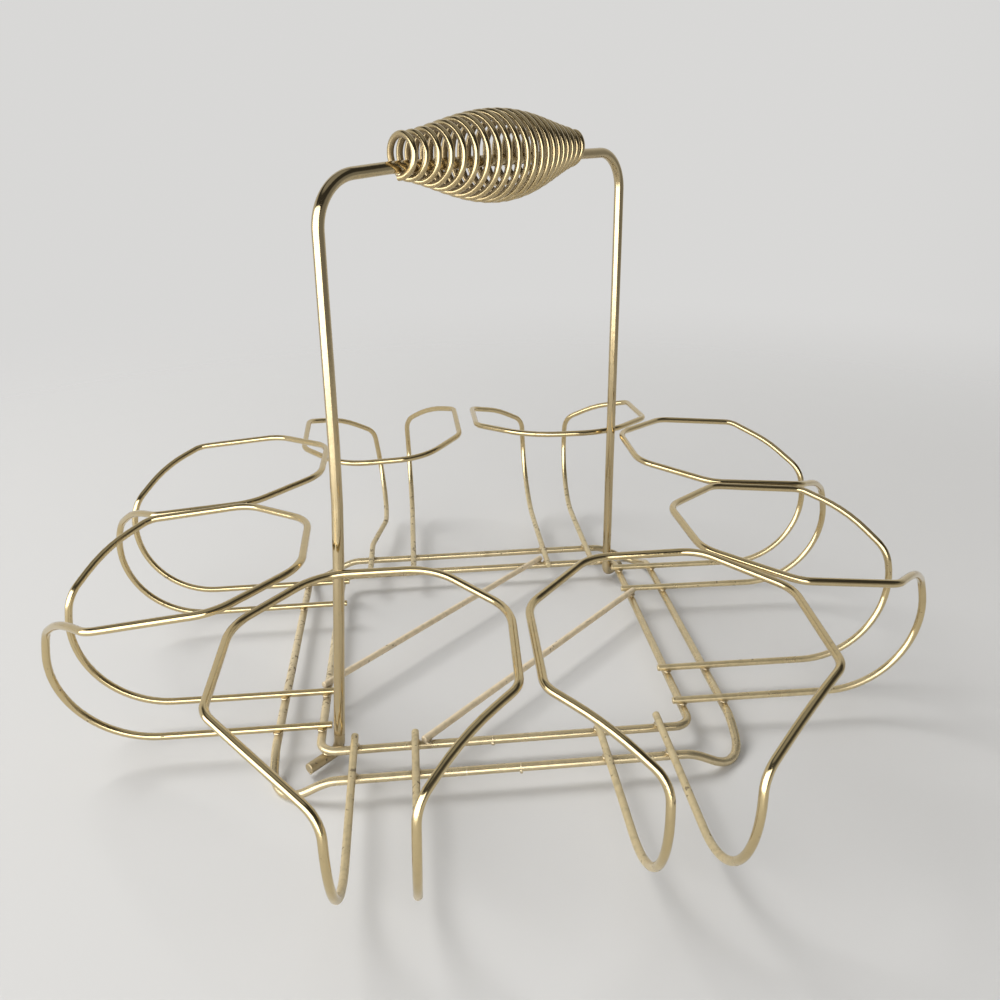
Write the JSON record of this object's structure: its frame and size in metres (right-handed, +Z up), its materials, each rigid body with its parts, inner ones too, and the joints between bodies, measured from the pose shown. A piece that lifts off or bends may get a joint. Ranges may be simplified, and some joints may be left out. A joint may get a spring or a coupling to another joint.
{
  "type": "cocktail glass caddy",
  "caption": "Brass-plated wire carrier: square frames on dipped feet, bent ring holders along every side for tumblers, and an upright handle over the diagonal with a coiled beehive grip.",
  "frame": {"origin": "middle of the base at table level, under the crossing of the frames' diagonals", "axes": "+Z up, -Y towards the front side of the base, +X to the right; the handle stands over the diagonal from front left to rear right"},
  "size_m": [0.3191, 0.3196, 0.219],
  "materials": {
    "base_wire": "brass-plated steel wire, dulled and speckled with tarnish",
    "handle_wire": "bright brass-plated steel wire",
    "coil_wire": "bright brass-plated steel wire, worn between the turns",
    "holder_wire": "bright brass-plated steel wire with a few tarnish specks"
  },
  "bodies": {
    "root": {"inner_frame": "base_wire", "outer_frame": "base_wire", "brace_rear_left": "base_wire", "brace_front_right": "base_wire", "handle": "handle_wire", "coil_grip": "coil_wire", "holder_front_left": "holder_wire", "holder_front_right": "holder_wire", "holder_right_front": "holder_wire", "holder_right_rear": "holder_wire", "holder_back_right": "holder_wire", "holder_back_left": "holder_wire", "holder_left_rear": "holder_wire", "holder_left_front": "holder_wire"}
  },
  "joints": []
}
